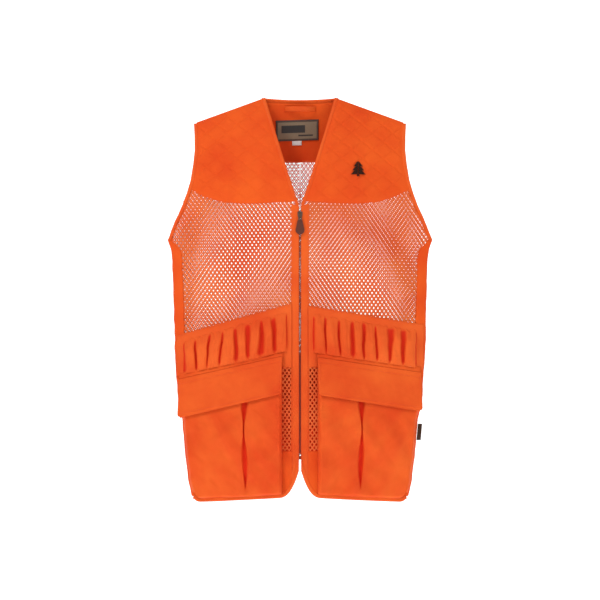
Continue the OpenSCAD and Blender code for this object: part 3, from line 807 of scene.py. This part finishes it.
for side, s in (("left", 1), ("right", -1)):
    def neck_spot(v, inward, o, s=s):
        z = mix(-173.5, 19.5, v)
        return front(s * max(vneck(z) + inward - 0.2, 1.0), z - 0.35 * inward * ease((v - 0.97) / 0.03), o)

    def arm_front(v, inward, o, s=s):
        z = mix(-233.5, -26.6, v)
        return front(s * (half_w(z) - inward), z, o)

    def arm_back(v, inward, o, s=s):
        z = mix(-233.5, -26.6, v)
        return back(s * (half_w(z) - inward), z, o)

    def hem_spot(v, inward, o, s=s):
        x = mix(1.9, 188, v ** 1.5)
        return front(s * x, hem(x) + 1.3 * inward / BIND * hem_rise(x), o)

    binding("neck_bind_" + side, neck_spot, 90, 0.205, ("neck_binding_" + side,), (0, -1, 0))
    binding("arm_bind_front_" + side, arm_front, 90, 0.212, ("armhole_binding_front_" + side,), (0, -1, 0))
    binding("arm_bind_back_" + side, arm_back, 90, 0.212, ("armhole_binding_back_" + side,), (0, 1, 0))
    binding("hem_bind_" + side, hem_spot, 110, 0.205, ("hem_binding_" + side,), (0, -1, 0))


def neck_back(v, inward, o):
    x = mix(-68, 68, v)
    return back(x, 19 - 3.5 * (1 - (x / 67) ** 2) - inward, o)


def hem_back_spot(v, inward, o):
    x = mix(-189, 189, v)
    return back(x, hem_back(x) + 1.2 * inward, o)


binding("neck_bind_back", neck_back, 80, 0.14, ("neck_binding_back",), (0, 1, 0))
binding("hem_bind_back", hem_back_spot, 160, 0.42, ("hem_binding_back",), (0, 1, 0))


# ---- labels, tags, loop and mark ----
def loop_place(u, v):
    x = mix(-28, 28, u)
    z = mix(-4.5, 4.5, v) - 1.2 * math.sin(math.pi * u)
    return back(x, z, -0.4 - 11 * (1 - (x / 28) ** 2) - 0.25 * math.sin(v * math.pi))


cloth("hanger_loop_tape", loop_place, 40, 8, "binding", (0.062, 0.010), t=1.0, nodes=("hanger_loop",))
for v in (0.15, 0.85):
    sew([loop_place(u / 30, v) + Vector((0, -0.0001, 0)) for u in range(31)], r=0.25, step=2.4, length=1.7)


def label_place(u, v):
    x, z = mix(-43, 33, u), mix(-55, -19, v)
    z += 2.2 * (u - 0.5)
    return back(x, z, -1.15 - 0.25 * noise.noise(Vector((x / 20, z / 20, 1))))


cloth("neck_label_cloth", label_place, 40, 20, "label", (0.076, 0.036), t=0.6, nodes=("neck_label",))
for v in (0.05, 0.95):
    sew([label_place(u / 40, v) + Vector((0, -0.0001, 0)) for u in range(41)], look="brown", r=0.25, step=2.6,
        length=1.9)
cloth("size_tab_cloth", lambda u, v: back(mix(-14, 3, u), mix(-63, -54.5, v), -0.95), 12, 8, "white",
      (0.017, 0.010), t=0.4, nodes=("size_tab",))


def tag_place(u, v):
    z = mix(-587, -558, v)
    return Vector((half_w(z) + 1.4 + 7.6 * u, -0.6 - 0.5 * math.sin(math.pi * u) - 0.4 * u, z)) * 0.001


cloth("side_tag_cloth", tag_place, 12, 24, "brown", (0.010, 0.029), t=0.8, nodes=("side_tag",))


def embroidery():
    """A small evergreen in satin stitch: threads laid across, row by row."""
    def tier(v):
        return (2 + 7 * v / 0.32 if v < 0.32 else 5 + 6.5 * (v - 0.32) / 0.28 if v < 0.6
                else 7.5 + 6.5 * (v - 0.6) / 0.26 if v < 0.86 else 2.4)

    bm = bmesh.new()
    bm.loops.layers.uv.new("UVMap")
    rows = 44
    for k in range(rows):
        v = (k + 0.5) / rows
        h, z = tier(v) * random.uniform(0.93, 1.03), mix(-96, -122, v)
        for a in (-1, 1):
            p, q = [front(102 + a * h * e, z - 0.8 * e, 4.3) for e in (0.0, 1.0)]
            turn = (q - p).to_track_quat("Z", "Y").to_matrix().to_4x4()
            size = Matrix.Diagonal((0.00042, 0.00042, (q - p).length * 0.52, 1))
            bmesh.ops.create_uvsphere(bm, u_segments=6, v_segments=6, radius=1,
                                      matrix=Matrix.Translation((p + q) / 2) @ turn @ size)
    finish_piece(bm, "chest_embroidery", "satin", "vest", ("chest_mark",))


embroidery()
make_stitches()


def zip_chain(side, s):
    """One row of moulded teeth, each reaching just past the middle between two of the other row."""
    pitch, first, last = 3.2, -181.6, -613
    whole = bmesh.new()
    n, done = int((first - last) / pitch), 0
    while done < n:
        bm = bmesh.new()
        bm.loops.layers.uv.new("UVMap")
        for k in range(done, min(n, done + 24)):
            z = first - pitch * (k + (0.5 if s < 0 else 0)) - 0.65
            for x, width, height in ((1.65, 2.1, 2.75), (0.15, 1.5, 1.35)):
                place = Matrix.Translation((s * x * 0.001, -0.0387, z * 0.001))
                size = Matrix.Diagonal((width * 0.001, 0.0019, height * 0.001, 1))
                bmesh.ops.create_cube(bm, size=1, matrix=place @ size)
        bmesh.ops.bevel(bm, geom=bm.edges[:], offset=0.0003, segments=1, affect="EDGES", profile=0.5,
                        material=-1)
        run = bpy.data.meshes.new("run")
        bm.to_mesh(run)
        bm.free()
        whole.from_mesh(run)
        bpy.data.meshes.remove(run)
        done += 24
    finish_piece(whole, "zip_chain_" + side, "teeth", "vest", ("zip_teeth_" + side,), smooth=False)


zip_chain("left", 1)
zip_chain("right", -1)

# ---- zip: the CAD pieces in their own materials, with softened edges ----
for node, look, soft in (("zip_tape_left", "tape", 0), ("zip_tape_right", "tape", 0),
                         ("zip_slider", "metal", 0.3), ("zip_link", "metal", 0.25),
                         ("zip_puller", "puller", 0.7), ("zip_top_stops", "metal", 0.3),
                         ("zip_retainer", "teeth", 0.4)):
    obj = frame["nodes"][node]
    obj.data.materials.clear()
    obj.data.materials.append(M[look])
    if soft:
        edge = obj.modifiers.new("edge", "BEVEL")
        edge.width = soft * 0.001
        edge.segments = 3 if soft > 0.2 else 1
        edge.limit_method = "ANGLE"


# ---------- floor, light and camera ----------
def plain(name, colour, glow=0.0):
    mat, _, bsdf = nodes_of(name)
    bsdf.inputs["Base Color"].default_value = (*colour, 1)
    bsdf.inputs["Roughness"].default_value = 0.9
    if glow:
        bsdf.inputs["Emission Color"].default_value = (1, 1, 1, 1)
        bsdf.inputs["Emission Strength"].default_value = glow
    return mat


bm = bmesh.new()
bmesh.ops.create_grid(bm, x_segments=1, y_segments=24, size=6)
for v in bm.verts:
    t = max(0, v.co.y - 1.2) / 4.8
    y = v.co.y if t == 0 else 1.2 + 0.8 * math.sin(min(1, t * 3) * math.pi / 2)
    z = 0.8 * (1 - math.cos(min(1, t * 3) * math.pi / 2)) + max(0, t * 3 - 1) * 2.2
    v.co = (v.co.x, y, z - 1.0)
mesh = bpy.data.meshes.new("studio_sweep")
bm.to_mesh(mesh)
bm.free()
mesh.polygons.foreach_set("use_smooth", [True] * len(mesh.polygons))
sweep = bpy.data.objects.new("studio_sweep", mesh)
bpy.context.scene.collection.objects.link(sweep)
mesh.materials.append(plain("studio_white", (0.9, 0.9, 0.9), 0.62))

world = bpy.data.worlds.new("studio")
bpy.context.scene.world = world
world.use_nodes = True
world.node_tree.nodes["Background"].inputs[0].default_value = (1, 1, 1, 1)
world.node_tree.nodes["Background"].inputs[1].default_value = 0.30


def lamp(name, spot, aim, size, power):
    data = bpy.data.lights.new(name, "AREA")
    data.size = size
    data.energy = power
    obj = bpy.data.objects.new(name, data)
    bpy.context.scene.collection.objects.link(obj)
    obj.location = spot
    obj.rotation_euler = (Vector(aim) - Vector(spot)).to_track_quat("-Z", "Y").to_euler()


lamp("key", (-1.6, -1.7, 1.7), (0, 0, -0.3), 0.7, 38)
lamp("fill", (2.1, -2.1, 0.5), (0, 0, -0.35), 1.4, 13)
lamp("top", (0.3, -0.9, 2.1), (0, 0, -0.35), 0.8, 9)
lamp("rear", (0.6, 2.4, 0.8), (0, 0, -0.3), 1.6, 26)

cam = bpy.data.cameras.new("camera")
cam.lens = 100
cam.sensor_width = 36
eye = bpy.data.objects.new("camera", cam)
bpy.context.scene.collection.objects.link(eye)
eye.location = (0.0, -2.952, -0.339)
eye.rotation_euler = (math.pi / 2, 0, 0)
bpy.context.scene.camera = eye
bpy.context.scene.view_settings.view_transform = "Standard"
